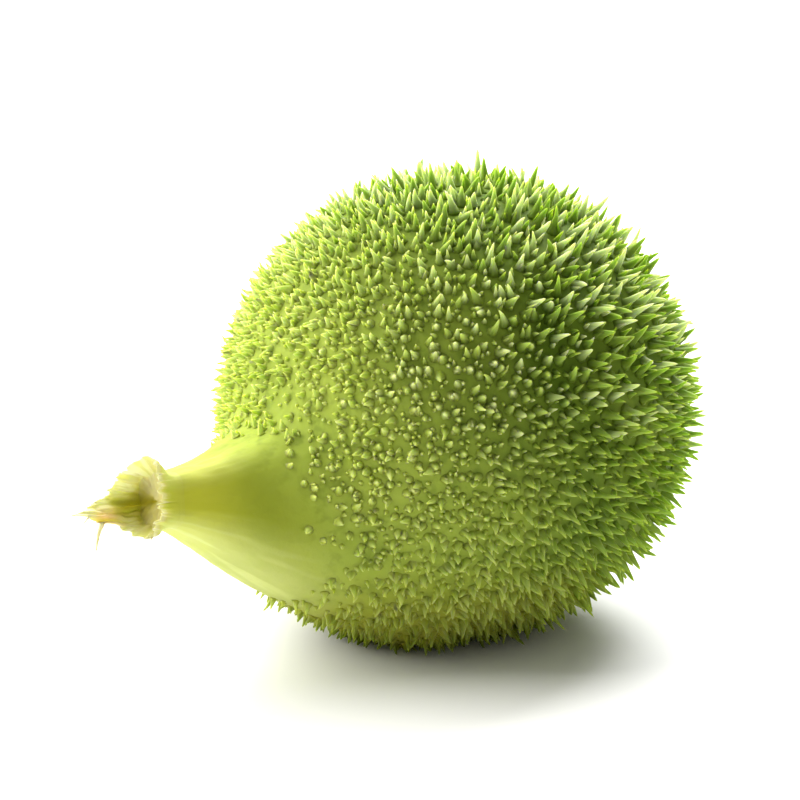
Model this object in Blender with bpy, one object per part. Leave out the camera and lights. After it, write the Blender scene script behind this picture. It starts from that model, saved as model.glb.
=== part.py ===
"""Spiny gourd: one ripe green fruit lying on its side, with its torn stalk end still in the neck.

Two pieces: the gourd itself (round body, curved ribbed neck and every spine, grown as one) and the
torn stalk cup whose root sits in a shallow socket in the end of the neck.

Metres, +Z up. The neck points along -X and the fruit rests at z = 0 on a small flat spot under its
body. The origin is at the middle of the bottom of the whole fruit's box.
"""

import math
import random

import bmesh
import bpy
from mathutils import Matrix, Vector
import numpy as np

MM = 0.001

# Body: a ball a little longer along the fruit's axis, its centre this far above the floor, which
# leaves a small flat spot under it.
BODY_RADIUS = 19.0 * MM
BODY_HALF_LENGTH = 19.9 * MM
BODY_HEIGHT = 18.9 * MM

# Neck: a cone, much wider below than above, that dips and then rises to the stalk.
NECK_REACH = 32.0 * MM
NECK_END_RADIUS = 2.3 * MM
NECK_DIP = math.radians(10.4)
NECK_RISE = math.radians(8.7)
BEND_START = 9.8 * MM
FLARE_START = 11.9 * MM
FLARE_ABOVE = 5.3 * MM
FLARE_BELOW = 14.8 * MM
FLARE_POWER = 1.21
BLEND = 1.1 * MM

# Broad ribs that run from the stalk down the neck and fan out onto the body.
RIB_COUNT = 4
RIB_TURN = math.radians(-30.0)
RIB_HEIGHT = 0.20 * MM
RIB_FADE_START = 13.0 * MM
RIB_FULL_FROM = 24.0 * MM

# Blossom end: a small raised scar opposite the neck.
SCAR_RADIUS = 1.6 * MM
SCAR_TOP_RADIUS = 0.8 * MM
SCAR_HEIGHT = 0.5 * MM

# Faces of the body.
COLUMNS = 7 * RIB_COUNT
BALL_ROWS = 10
NECK_ROWS = 12

# Spines: soft cones spread evenly over the skin, shorter towards the neck, whose end is bare.
SPINE_COUNT = 960
SPINE_LENGTH = 1.9 * MM
SPINE_LENGTH_AT_NECK = 1.1 * MM
SPINE_SHORTEN_FROM = -8.0 * MM
SPINE_LENGTH_SPREAD = 0.25
SPINE_ROOT_RADIUS = 0.52 * MM
SPINE_SINK = 0.55 * MM
SPINE_LEAN = math.radians(16.0)
SPINE_SIDES = 3
SPINES_THIN_FROM = 18.0 * MM
SPINES_END_AT = 25.0 * MM
SCAR_CLEAR = 1.9 * MM
LATTICE_JITTER = 0.22
FLOOR_CLEAR = 0.12 * MM
FOOT_CLEAR = 0.38 * MM
SEED = 7

# Stalk cup and the socket that holds its root.
SOCKET_RADIUS = 1.50 * MM
SOCKET_DEPTH = 1.20 * MM
FIT_GAP = 0.30 * MM
CUP_COLLAR_RADIUS = 2.35 * MM
CUP_WALL = 0.60 * MM
CUP_FLOOR = 0.90 * MM
CUP_LENGTH = 9.0 * MM
CUP_COLUMNS = 36
# The torn rim, once round from the top: angle in degrees, reach beyond the neck, radius.
CUP_RIM = (
    (0, 1.9 * MM, 3.9 * MM),
    (40, 2.9 * MM, 3.0 * MM),
    (80, 3.5 * MM, 2.6 * MM),
    (110, 5.6 * MM, 2.2 * MM),
    (130, 8.1 * MM, 1.8 * MM),
    (150, 5.2 * MM, 2.3 * MM),
    (170, 2.4 * MM, 2.6 * MM),
    (190, 1.4 * MM, 3.2 * MM),
    (230, 1.6 * MM, 2.5 * MM),
    (270, 1.9 * MM, 2.4 * MM),
    (320, 1.6 * MM, 2.7 * MM),
    (360, 1.9 * MM, 3.9 * MM),
)


def clear_scene():
    for obj in list(bpy.data.objects):
        bpy.data.objects.remove(obj, do_unlink=True)


def smoothstep(value):
    value = min(max(value, 0.0), 1.0)
    return value * value * (3.0 - 2.0 * value)


def axis_angle(reach):
    """Angle of the fruit's axis below the level, at a distance along it from the body's centre."""
    bend = smoothstep((reach - BEND_START) / (NECK_REACH - BEND_START))
    return NECK_DIP - (NECK_DIP + NECK_RISE) * bend


def axis_table(steps=600):
    """Distances along the axis, with the X and Z of each, measured from the body's centre."""
    reaches = np.linspace(-BODY_HALF_LENGTH - SCAR_HEIGHT, NECK_REACH + CUP_LENGTH, steps)
    angles = np.array([axis_angle(reach) for reach in reaches])
    step = reaches[1] - reaches[0]
    x = np.cumsum(-np.cos(angles)) * step
    z = np.cumsum(-np.sin(angles)) * step
    x -= np.interp(0.0, reaches, x)
    z -= np.interp(0.0, reaches, z)
    return reaches, x, z


AXIS_REACHES, AXIS_X, AXIS_Z = axis_table()


def axis_point(reach):
    x = float(np.interp(reach, AXIS_REACHES, AXIS_X))
    z = float(np.interp(reach, AXIS_REACHES, AXIS_Z))
    return Vector((x, 0.0, BODY_HEIGHT + z))


def beside_axis(reach, radius, turn):
    """Point at a distance from the axis, turned from straight up across it towards +Y."""
    angle = axis_angle(reach)
    up = Vector((-math.sin(angle), 0.0, math.cos(angle)))
    side = Vector((0.0, 1.0, 0.0))
    return axis_point(reach) + (up * math.cos(turn) + side * math.sin(turn)) * radius


def rib_relief(reach, turn):
    """Height of the neck's ribs, none on the body and full on the neck."""
    strength = smoothstep((reach - RIB_FADE_START) / (RIB_FULL_FROM - RIB_FADE_START))
    return RIB_HEIGHT * strength * math.cos(RIB_COUNT * (turn - RIB_TURN))


def ball_radius(reach):
    return BODY_RADIUS * math.sqrt(max(1.0 - (reach / BODY_HALF_LENGTH) ** 2, 0.0))


def skin_radius(reach, turn):
    """Distance of the skin from the axis: ball and neck, run smoothly into one another."""
    ball = ball_radius(reach)
    if reach <= 0.0:
        return ball
    part = (NECK_REACH - reach) / (NECK_REACH - FLARE_START)
    part = min(max(part, 0.0), 1.0)
    flare = FLARE_BELOW + (FLARE_ABOVE - FLARE_BELOW) * (0.5 + 0.5 * math.cos(turn))
    neck = NECK_END_RADIUS + flare * part**FLARE_POWER
    joined = BLEND * float(np.logaddexp(ball / BLEND, neck / BLEND))
    return joined + rib_relief(reach, turn)


def skin_point(reach, turn):
    return beside_axis(reach, skin_radius(reach, turn), turn)


def skin_normal(reach, turn):
    """Outward direction of the skin, from two small steps along it."""
    small = 0.05 * MM
    here = min(max(reach, -BODY_HALF_LENGTH + 4 * small), NECK_REACH - small)
    along = skin_point(here + small, turn) - skin_point(here - small, turn)
    turn_step = small / max(skin_radius(here, turn), small)
    around = skin_point(here, turn + turn_step) - skin_point(here, turn - turn_step)
    normal = along.cross(around).normalized()
    outward = skin_point(here, turn) - axis_point(here)
    return normal if normal.dot(outward) > 0 else -normal


def body_reaches():
    """Places of the body's rings along the axis, from beside the scar to the end of the neck."""
    last_angle = math.acos(-BEND_START / BODY_HALF_LENGTH)
    first_angle = math.asin(SCAR_RADIUS / BODY_RADIUS)
    step = (last_angle - first_angle) / BALL_ROWS
    ball = [-BODY_HALF_LENGTH * math.cos(first_angle + step * row) for row in range(BALL_ROWS + 1)]
    neck_step = (NECK_REACH - BEND_START) / NECK_ROWS
    return ball + [BEND_START + neck_step * (row + 1) for row in range(NECK_ROWS)]


def add_ring(bm, columns, place):
    """A closed ring of points round the axis; place gives the reach and radius at each angle."""
    ring = []
    for index in range(columns):
        turn = 2.0 * math.pi * index / columns
        reach, radius = place(turn)
        ring.append(bm.verts.new(beside_axis(reach, radius, turn)))
    return ring


def loft(bm, rings):
    """Joins each ring to the next and closes both ends."""
    for first, second in zip(rings, rings[1:]):
        count = len(first)
        for index in range(count):
            after = (index + 1) % count
            bm.faces.new((first[index], first[after], second[after], second[index]))
    bm.faces.new(rings[0])
    bm.faces.new(rings[-1])


def material(name, colour, roughness):
    """A plain finish for one piece, coloured like the real thing."""
    made = bpy.data.materials.new(name)
    made.use_nodes = True
    shader = made.node_tree.nodes["Principled BSDF"]
    shader.inputs["Base Color"].default_value = (*colour, 1.0)
    shader.inputs["Roughness"].default_value = roughness
    shader.inputs["Metallic"].default_value = 0.0
    return made


def add_object(name, bm, finish):
    mesh = bpy.data.meshes.new(name)
    bmesh.ops.recalc_face_normals(bm, faces=bm.faces)
    bm.to_mesh(mesh)
    bm.free()
    mesh.materials.append(finish)
    mesh.shade_smooth()
    obj = bpy.data.objects.new(name, mesh)
    bpy.context.scene.collection.objects.link(obj)
    return obj


def flatten_rest(bm):
    """Cuts the small flat spot that the fruit lies on, at z = 0."""
    cut = bmesh.ops.bisect_plane(
        bm,
        geom=[*bm.verts, *bm.edges, *bm.faces],
        dist=1e-7,
        plane_co=(0.0, 0.0, 0.0),
        plane_no=(0.0, 0.0, -1.0),
        clear_outer=True,
    )
    rim = [item for item in cut["geom_cut"] if isinstance(item, bmesh.types.BMEdge)]
    bmesh.ops.holes_fill(bm, edges=rim)


def make_body(finish):
    """Ball, neck, scar, socket and rest, as one closed skin without its spines."""
    bm = bmesh.new()
    rings = [add_ring(bm, COLUMNS, lambda turn: (-BODY_HALF_LENGTH - SCAR_HEIGHT, SCAR_TOP_RADIUS))]
    for reach in body_reaches():
        rings.append(add_ring(bm, COLUMNS, lambda turn, at=reach: (at, skin_radius(at, turn))))
    rings.append(add_ring(bm, COLUMNS, lambda turn: (NECK_REACH, SOCKET_RADIUS)))
    rings.append(add_ring(bm, COLUMNS, lambda turn: (NECK_REACH - SOCKET_DEPTH, SOCKET_RADIUS)))
    loft(bm, rings)
    flatten_rest(bm)
    bmesh.ops.triangulate(bm, faces=bm.faces)
    return add_object("gourd", bm, finish)


def unit_spine():
    """A closed three-sided cone of radius 1 and height 1, pointing along +Z from the origin."""
    bm = bmesh.new()
    bmesh.ops.create_cone(
        bm, cap_ends=True, cap_tris=True, segments=SPINE_SIDES, radius1=1.0, radius2=0.0, depth=1.0
    )
    bmesh.ops.translate(bm, verts=bm.verts, vec=(0.0, 0.0, 0.5))
    bmesh.ops.remove_doubles(bm, verts=bm.verts, dist=1e-6)
    bmesh.ops.recalc_face_normals(bm, faces=bm.faces)
    mesh = bpy.data.meshes.new("spine")
    bm.to_mesh(mesh)
    bm.free()
    return mesh


def spine_weight(reach):
    """How thickly the spines stand: full on the body, thinning out along the neck."""
    if reach < 0.0 and ball_radius(reach) < SCAR_CLEAR:
        return 0.0
    return 1.0 - smoothstep((reach - SPINES_THIN_FROM) / (SPINES_END_AT - SPINES_THIN_FROM))


def spine_feet(draw):
    """Places of the spines, spread evenly by area with a golden-angle turn from each to the next."""
    reaches = np.linspace(-BODY_HALF_LENGTH, SPINES_END_AT, 900)
    side_radii = np.array([skin_radius(reach, 0.5 * math.pi) for reach in reaches])
    slant = np.hypot(np.gradient(reaches), np.gradient(side_radii))
    slant = np.minimum(slant, 6.0 * np.gradient(reaches))
    weights = np.array([spine_weight(reach) for reach in reaches])
    share = np.cumsum(side_radii * slant * weights)
    share /= share[-1]
    golden = math.pi * (3.0 - math.sqrt(5.0))
    spacing = math.sqrt(4.0 * math.pi * BODY_RADIUS**2 / SPINE_COUNT)
    for index in range(SPINE_COUNT):
        part = (index + 0.5 + draw.uniform(-1.0, 1.0)) / SPINE_COUNT
        reach = float(np.interp(part, share, reaches))
        shift = draw.uniform(-LATTICE_JITTER, LATTICE_JITTER) * spacing
        turn = index * golden + shift / skin_radius(reach, 0.5 * math.pi)
        yield reach, turn


def spine_length(reach, draw):
    """A spine's length: full on the blossom side, shorter towards the neck, each a little different."""
    part = smoothstep((reach - SPINE_SHORTEN_FROM) / (SPINES_END_AT - SPINE_SHORTEN_FROM))
    usual = SPINE_LENGTH + (SPINE_LENGTH_AT_NECK - SPINE_LENGTH) * part
    return usual * (1.0 + draw.uniform(-SPINE_LENGTH_SPREAD, SPINE_LENGTH_SPREAD))


def leaning(direction, draw):
    """The direction, tipped a little to a random side."""
    side = direction.orthogonal().normalized()
    side.rotate(Matrix.Rotation(draw.uniform(0.0, 2.0 * math.pi), 3, direction))
    return (direction + side * math.tan(SPINE_LEAN) * math.sqrt(draw.random())).normalized()


def spine_matrix(foot, direction, length, draw):
    """Stands the unit spine on its sunk root, pressed sideways where its tip would meet the floor."""
    tip = foot + direction * length
    if tip.z < FLOOR_CLEAR:
        outward = Vector((direction.x, direction.y, 0.0)).normalized()
        drop = foot.z - FLOOR_CLEAR
        tip = foot + outward * math.sqrt(max(length**2 - drop**2, 0.0)) - Vector((0.0, 0.0, drop))
        direction = (tip - foot).normalized()
    root = foot - direction * SPINE_SINK
    turned = direction.to_track_quat("Z", "Y").to_matrix().to_4x4()
    spun = Matrix.Rotation(draw.uniform(0.0, 2.0 * math.pi), 4, "Z")
    size = Matrix.Diagonal((SPINE_ROOT_RADIUS, SPINE_ROOT_RADIUS, length + SPINE_SINK, 1.0))
    return Matrix.Translation(root) @ turned @ spun @ size


def make_spines():
    """Every spine as its own closed cone, in a collection that is joined to the body afterwards."""
    draw = random.Random(SEED)
    group = bpy.data.collections.new("spines")
    bpy.context.scene.collection.children.link(group)
    mesh = unit_spine()
    for reach, turn in spine_feet(draw):
        foot = skin_point(reach, turn)
        direction = leaning(skin_normal(reach, turn), draw)
        placed = spine_matrix(foot, direction, spine_length(reach, draw), draw)
        if foot.z < FOOT_CLEAR:
            continue
        spine = bpy.data.objects.new("spine", mesh)
        spine.matrix_world = placed
        group.objects.link(spine)
    return group


def join_spines(body, group):
    """Fuses the spines to the body in one union, then clears them away."""
    union = body.modifiers.new("spines", "BOOLEAN")
    union.operation = "UNION"
    union.operand_type = "COLLECTION"
    union.collection = group
    union.solver = "EXACT"
    bpy.context.view_layer.update()
    graph = bpy.context.evaluated_depsgraph_get()
    joined = bpy.data.meshes.new_from_object(body.evaluated_get(graph))
    body.modifiers.clear()
    body.data = joined
    body.data.name = "gourd"
    for spine in list(group.objects):
        bpy.data.objects.remove(spine, do_unlink=True)
    bpy.data.collections.remove(group)


def rim_at(turn):
    """Reach and radius of the torn rim at an angle, by easing between its given points."""
    degrees = math.degrees(turn) % 360.0
    for (start, reach_a, radius_a), (end, reach_b, radius_b) in zip(CUP_RIM, CUP_RIM[1:]):
        if degrees <= end:
            part = smoothstep((degrees - start) / (end - start))
            return reach_a + (reach_b - reach_a) * part, radius_a + (radius_b - radius_a) * part
    return CUP_RIM[-1][1:]


def cup_outside(part):
    """Place on the outer wall, part of the way from the collar to the torn rim."""

    def place(turn):
        reach, radius = rim_at(turn)
        return (
            NECK_REACH + FIT_GAP + (reach - FIT_GAP) * part,
            CUP_COLLAR_RADIUS + (radius - CUP_COLLAR_RADIUS) * smoothstep(part),
        )

    return place


def cup_inside(part):
    """Place on the inner wall, part of the way from the floor of the cup to the torn rim."""

    def place(turn):
        reach, radius = rim_at(turn)
        inner = CUP_COLLAR_RADIUS - CUP_WALL
        return (
            NECK_REACH + CUP_FLOOR + (reach - CUP_FLOOR) * part,
            inner + (radius - CUP_WALL - inner) * smoothstep(part),
        )

    return place


def make_stalk(finish):
    """Torn stalk cup: a root for the socket, a collar, and a ragged flared wall round a hollow."""
    bm = bmesh.new()
    root_radius = SOCKET_RADIUS - FIT_GAP
    places = [
        lambda turn: (NECK_REACH - SOCKET_DEPTH + FIT_GAP, root_radius),
        lambda turn: (NECK_REACH + FIT_GAP, root_radius),
        cup_outside(0.0),
        cup_outside(0.5),
        cup_outside(1.0),
        cup_inside(1.0),
        cup_inside(0.5),
        cup_inside(0.0),
    ]
    loft(bm, [add_ring(bm, CUP_COLUMNS, place) for place in places])
    bmesh.ops.triangulate(bm, faces=bm.faces)
    return add_object("stem_end", bm, finish)


def centre_on_box(pieces):
    """Moves the finished meshes so that the origin is at the middle of the bottom of their box."""
    points = [vertex.co for piece in pieces for vertex in piece.data.vertices]
    low = [min(point[axis] for point in points) for axis in range(3)]
    high = [max(point[axis] for point in points) for axis in range(3)]
    shift = Vector((-(low[0] + high[0]) / 2, -(low[1] + high[1]) / 2, -low[2]))
    for piece in pieces:
        piece.data.transform(Matrix.Translation(shift))


def main():
    clear_scene()
    skin = material("gourd_skin", (0.28, 0.38, 0.06), 0.55)
    stalk = material("dry_stalk", (0.82, 0.76, 0.40), 0.7)
    gourd = make_body(skin)
    join_spines(gourd, make_spines())
    cup = make_stalk(stalk)
    centre_on_box([gourd, cup])


main()
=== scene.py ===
"""Looks of the spiny gourd: its smooth-necked skin, its soft spines and its torn dry stalk, on a pale floor.

Metres, +Z up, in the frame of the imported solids. The fruit's axis runs from the blossom end at +X,
through the round body and down the neck to the stalk at -X. A place on it is given by its reach, the
distance along the axis from the body's centre towards the neck, and its turn, the angle round the axis
from straight up towards +Y.
"""

import math
import random

import bmesh
import bpy
from mathutils import Matrix, Vector, noise
import numpy as np


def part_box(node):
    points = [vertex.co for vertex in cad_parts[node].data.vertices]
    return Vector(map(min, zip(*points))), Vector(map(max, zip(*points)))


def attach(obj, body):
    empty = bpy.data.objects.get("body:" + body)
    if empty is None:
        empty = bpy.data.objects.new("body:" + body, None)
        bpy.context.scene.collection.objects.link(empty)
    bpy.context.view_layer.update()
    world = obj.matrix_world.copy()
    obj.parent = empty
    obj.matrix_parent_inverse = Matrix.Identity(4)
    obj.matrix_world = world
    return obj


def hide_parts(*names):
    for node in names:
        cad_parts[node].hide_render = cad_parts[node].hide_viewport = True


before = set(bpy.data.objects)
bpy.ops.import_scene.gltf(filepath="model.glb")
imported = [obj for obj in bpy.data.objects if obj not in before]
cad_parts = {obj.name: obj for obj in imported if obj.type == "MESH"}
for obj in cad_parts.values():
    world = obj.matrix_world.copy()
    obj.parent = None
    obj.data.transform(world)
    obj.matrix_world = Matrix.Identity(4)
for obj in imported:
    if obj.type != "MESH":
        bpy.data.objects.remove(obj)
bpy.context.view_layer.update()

MM = 0.001

# Body and neck, with the same sizes as the solids.
BODY_RADIUS = 19.0 * MM
BODY_HALF_LENGTH = 19.9 * MM
BODY_HEIGHT = 18.9 * MM
NECK_REACH = 32.0 * MM
NECK_END_RADIUS = 2.3 * MM
NECK_DIP = math.radians(10.4)
NECK_RISE = math.radians(8.7)
BEND_START = 9.8 * MM
FLARE_START = 11.9 * MM
FLARE_ABOVE = 5.3 * MM
FLARE_BELOW = 14.8 * MM
FLARE_POWER = 1.21
BLEND = 1.1 * MM
SOLID_COLUMNS = 28
RESTING_BELOW = 0.01 * MM

# Broad ribs of the neck, with finer lines on them, and the pale band along its top and its underside, which
# is partly the neck's own yellow and partly painted light from above and from the floor.
RIB_COUNT = 4
RIB_TURN = math.radians(-30.0)
RIB_HEIGHT = 0.20 * MM
RIB_FADE_START = 13.0 * MM
RIB_FULL_FROM = 24.0 * MM
LINE_HEIGHT = 0.035 * MM
LINE_LENGTH = 9.0 * MM
LINES_ROUND = 4.0
FINER_LINES = 2.3
FINER_LINES_SHARE = 0.6
BAND_TURN = math.radians(12.0)
BAND_NARROWS_FROM = 24.0 * MM
BAND_NARROWS_OVER = 6.0 * MM
BAND_POWERS = (0.9, 2.3)
BAND_DULLING_ABOVE = 0.55
# Where the neck's own colours begin, above and below, and where its flanks turn from green to olive
# yellow. The middle of its far flank stays greener, as painted shade on the side the window lights most.
NECK_COLOUR_ABOVE = 21.0 * MM
NECK_COLOUR_BELOW = 16.5 * MM
NECK_COLOUR_OVER = 6.5 * MM
RIPE_FROM = 24.5 * MM
RIPE_FULL = 30.5 * MM
FAR_TURN = math.radians(105.0)
FAR_SIDE_FROM = 0.1
FAR_SIDE_OVER = 0.7
FAR_SIDE_PAINTED_SHADE = 0.8
# The bare end of the neck inside the cup's root: how far it bulges, and the shares of its radius.
NECK_CAP = 0.2 * MM
NECK_CAP_SHARES = (0.85, 0.4, 0.0)

# Blossom scar.
SCAR_RADIUS = 1.6 * MM
SCAR_HEIGHT = 0.5 * MM
SCAR_DIMPLE = 0.22
SCAR_DIMPLE_DEPTH = 0.45
SCAR_BROWN_TO = 0.6 * MM
SCAR_BROWN_FADE = 1.2 * MM

# Unevenness of the skin: broad swells and small pits.
SWELL_HEIGHT = 0.14 * MM
SWELL_SIZE = 7.0 * MM
PIT_HEIGHT = 0.08 * MM
PIT_SIZE = 1.3 * MM
PIT_SHIFT = Vector((9.0, 4.0, 2.0))

# The yellower underside: painted light bounced up from the pale floor. It fades out up the fruit and is
# weaker towards the blossom end, on the side away from the window.
UNDERSIDE_HEIGHT = 0.62 * BODY_HEIGHT
UNDERSIDE_AT_BLOSSOM = 0.4
UNDERSIDE_GROWS_FROM = -14.0 * MM
UNDERSIDE_GROWS_OVER = 18.0 * MM

# Faces of the skin.
COLUMNS = 224
SCAR_ROWS = 8
BALL_ROWS = 110
NECK_ROWS = 96
SEAM_MERGE = 0.001 * MM

# Spines: the long ones, and the short fine ones that stand between them.
SPINE_LENGTH = 1.90 * MM
SPINE_LENGTH_AT_NECK = 0.85 * MM
SPINE_SHORTEN_FROM = -10.0 * MM
SPINE_LENGTH_SPREAD = 0.30
TALL_SHARE = 0.04
TALL_LENGTH = 1.35
SPINE_LEAN = math.radians(16.0)
SPINE_HOOK = 0.40
SPINE_HOOK_POWER = 1.3
SPINE_WIDTH_SPREAD = 0.15
# How many more stand on the same area at the neck than at the blossom end, and how much slimmer.
SPINE_CROWDING = 1.3
SPINE_SLIMMING = 0.32
# They thin out along the neck over this stretch, end sooner underneath it than on top, and farther on
# its flanks.
SPINES_END_ABOVE = 23.0 * MM
SPINES_END_BELOW = 22.0 * MM
SPINES_END_FLANKS = 1.6 * MM
SPINES_THIN_OVER = 7.0 * MM
SCAR_CLEAR = 1.8 * MM
LATTICE_JITTER = 0.35
FLOOR_CLEAR = 0.10 * MM
FOOT_CLEAR = 0.38 * MM
LOWEST_SPINE = 0.02 * MM
# Pale tips: they stand in small clumps, and are paler higher up the fruit, a painted highlight from the
# light above, from this share of its height and over this one. The powers make most tips plain, and fewer of
# them in a clump.
TIP_CLUMP = 1.1 * MM
CLUMP_CONTRAST = 1.2
CLUMP_POWERS = (3.2, 0.9)
PALER_FROM = 0.38
PALER_OVER = 0.50
PALENESS = (0.5, 2.2)
# A tapering shape ends in a point this thick, whose ring is then merged.
POINT_RADIUS = 1e-5 * MM
POINT_MERGE = 1e-4 * MM
# Each set's number, sides, foot radius, share of the full length, and its profile, which gives the
# height up the spine and the radius, both as shares, from its sunk foot to just under its tip.
LONG_SPINES = {
    "count": 2850,
    "sides": 7,
    "foot_radius": 0.46 * MM,
    "length_share": 1.0,
    "profile": ((-0.06, 1.5), (0.05, 1.08), (0.26, 0.74), (0.60, 0.47), (0.88, 0.24)),
}
FINE_SPINES = {
    "count": 4900,
    "sides": 5,
    "foot_radius": 0.28 * MM,
    "length_share": 0.58,
    "profile": ((-0.15, 1.4), (0.08, 1.0), (0.40, 0.62), (0.80, 0.30)),
}

# Torn stalk cup: angle in degrees, reach beyond the neck, radius, as on the solids.
CUP_FLOOR = 0.9 * MM
CUP_LENGTH = 9.0 * MM
CUP_RIM = (
    (0, 1.9 * MM, 3.9 * MM),
    (40, 2.9 * MM, 3.0 * MM),
    (80, 3.5 * MM, 2.6 * MM),
    (110, 5.6 * MM, 2.2 * MM),
    (130, 8.1 * MM, 1.8 * MM),
    (150, 5.2 * MM, 2.3 * MM),
    (170, 2.4 * MM, 2.6 * MM),
    (190, 1.4 * MM, 3.2 * MM),
    (230, 1.6 * MM, 2.5 * MM),
    (270, 1.9 * MM, 2.4 * MM),
    (320, 1.6 * MM, 2.7 * MM),
    (360, 1.9 * MM, 3.9 * MM),
)
CUP_WALL = 0.45 * MM
CUP_EDGE_WALL = 0.10 * MM
CUP_THINNING_POWER = 1.5
CUP_ROOT = 0.9 * MM
NECK_TUCK = 0.03 * MM
NEAR_PINCH = 0.30 * MM
CUP_COLUMNS = 260
CUP_WALL_ROWS = 44
CUP_FLOOR_ROWS = 12
# Unevenness of the torn edge: its kinds, each with its fineness round the rim, where its noise starts,
# and the share of the depth by which it lifts the edge or cuts into it.
TEAR_DEPTH = 0.55 * MM
BITES = (2.6, Vector((6.3, 6.6, 1.2)), 0.8)
SPLINTERS = (4.5, Vector((4.1, 0.4, 2.7)), 0.8)
NOTCHES = (3.1, Vector((3.5, 5.2, 1.4)), 1.1)
SHREDS = (15.0, Vector(), 0.4)
SPLINTER_SHARPNESS = 5.0
NOTCH_SHARPNESS = 9.0
# Crumples of the wall, which begin above its root and are weak on its near side.
CRUMPLE = 0.34 * MM
CRUMPLE_FROM = 0.2 * MM
CRUMPLE_OVER = 1.4 * MM
CALM_NEAR = 0.8
LUMP_SIZE = 1.3 * MM
SMALL_LUMP_SIZE = 0.45 * MM
SMALL_LUMP_SHARE = 0.30
PLEAT_HEIGHT = 0.16 * MM
PLEAT_LENGTH = 4.0 * MM
PLEATS_ROUND = 3.5
PLEAT_SHARPNESS = 4.0
FIBRE_HEIGHT = 0.05 * MM
FIBRES_ROUND = 8.0
FIBRE_SHORTENING = 3.0
FIBRE_AT_ROOT = 0.3
# Pith in the bottom of the hollow.
PITH_HEIGHT = 0.16 * MM
PITH_SAG = 0.4 * MM
PITH_GRAIN = 0.35 * MM
PITH_LUMP = 0.9 * MM
PITH_LUMP_SHARE = 0.5
# The wall's near side and far flank stay green farther up, the far flank as painted shade, and its lower
# side takes the most painted shade. Where two values stand together, the first is away from the near side,
# or low down, and the second on it, or high.
NEAR_TURN = math.radians(285.0)
TOP_LIT_TURN = math.radians(20.0)
SHADE_SPREAD = 1.2
SHADE_INSIDE = 0.5
DRY_EDGE = (0.6 * MM, 1.0 * MM)
DRY_EDGE_NEAR_LOSS = 0.3
DRY_FROM = (0.3 * MM, 1.6 * MM)
DRY_OVER = 1.2 * MM
# The olive valley deep inside, partly the wall's own olive and partly painted shade, which turns as it runs
# out along the tongue, and the paling round it, lighter on the upper inner wall as painted light.
HOLLOW_TURN = math.radians(104.0)
HOLLOW_TURN_AT_TIP = math.radians(136.0)
HOLLOW_LENGTH = 8.0 * MM
HOLLOW_WIDTH = 0.55
HOLLOW_OLIVE_TO = 2.6 * MM
HOLLOW_OLIVE_FADE = 2.9 * MM
INNER_TOP_LIT_TURN = 0.5
INNER_PALENESS = (0.45, 0.6)
RIM_PALENESS = (0.4, 0.2)
RIM_PALER_FROM = 0.8 * MM
RIM_PALER_OVER = 1.6 * MM
# A warm blush on the tongue.
BLUSH_TURN = math.radians(142.0)
BLUSH_WIDTH = 0.35
BLUSH_REACH = 4.8 * MM
BLUSH_LENGTH = 1.2 * MM
# Loose fibres on the torn rim: angle round it in degrees, length, and how far each heads along the
# axis, outward and down.
STRANDS = (
    (147, 2.4 * MM, 0.28, 0.05, 0.95),
    (138, 0.9 * MM, 0.75, 0.30, 0.60),
    (100, 0.6 * MM, 0.95, 0.25, 0.10),
    (60, 0.6 * MM, 0.90, 0.45, 0.10),
    (195, 0.7 * MM, 0.75, 0.60, 0.35),
)
STRAND_SLIMNESS = 0.11
STRAND_SIDES = 8
STRAND_RINGS = 12
STRAND_SUNK = 0.35 * MM
STRAND_INSET = 0.10 * MM
STRAND_DROOP_POWER = 1.2
STRAND_SWAY = 0.07
STRAND_SWAYS = (4.0, 6.0)
STRAND_TAPER = 0.75
STRAND_TAPER_POWER = 0.8

# Colours of the fruit: its skin from the blossom end, whose deep green is partly painted shade, to the neck,
# its underside, painted bounce light from the floor, and its small flecks.
FRUIT_GREEN_AND_SHADE = (0.076, 0.138, 0.005)
FRUIT_YELLOW = (0.445, 0.54, 0.080)
# Painted bounce light from the floor on the underside, for skin and spines.
PAINTED_BOUNCE_OLIVE = (0.31, 0.31, 0.030)
FLECK_GREEN = (0.07, 0.13, 0.01)
FLECK_STRENGTH = 0.3
PATCHINESS = 0.24
SCAR_BROWN = (0.12, 0.085, 0.022)
# The neck's pale bands, partly painted light, and its flanks before and after they ripen, whose olive is
# partly painted shade.
NECK_PALE_AND_LIT = (0.58, 0.63, 0.21)
NECK_GREEN = (0.28, 0.33, 0.026)
NECK_OLIVE_AND_SHADE = (0.48, 0.495, 0.038)
NECK_CLOUDING = 0.18
NECK_LINING = 0.30
# Spine tips, from plain to frosted; towards the neck they take a calmer colour, and low down a deeper one.
TIP_GREEN = (0.18, 0.29, 0.03)
TIP_LIGHT = (0.27, 0.39, 0.05)
TIP_FROST = (0.70, 0.80, 0.43)
TIP_FROSTING = 0.38
TIP_CALMING = 0.72
CALM_TIP_TINT = (1.0, 1.0, 0.5)
CALM_TIP_TINTING = 0.30
LOW_TIP_GREEN = (0.13, 0.17, 0.02)
# The dried stalk.
# Olive of the hollow, partly painted shade.
HOLLOW_SHADE_OLIVE = (0.32, 0.28, 0.006)
WITHERED_YELLOW = (0.68, 0.63, 0.17)
WITHERED_CREAM = (0.79, 0.77, 0.55)
# Tint of the painted shade on the wall's lower far side.
PAINTED_SHADE_TINT = (0.66, 0.65, 0.62)
CREASE_TINT = (0.82, 0.78, 0.50)
BLUSH_TAN = (0.86, 0.55, 0.24)
FIBRE_TAN = (0.66, 0.58, 0.24)
FIBRE_CREAM = (0.84, 0.78, 0.44)
UNTINTED = (1.0, 1.0, 1.0)
# How far red, green and blue light travel in the flesh, as shares of each material's depth.
FLESH_REACH = (0.8, 1.0, 0.15)

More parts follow.
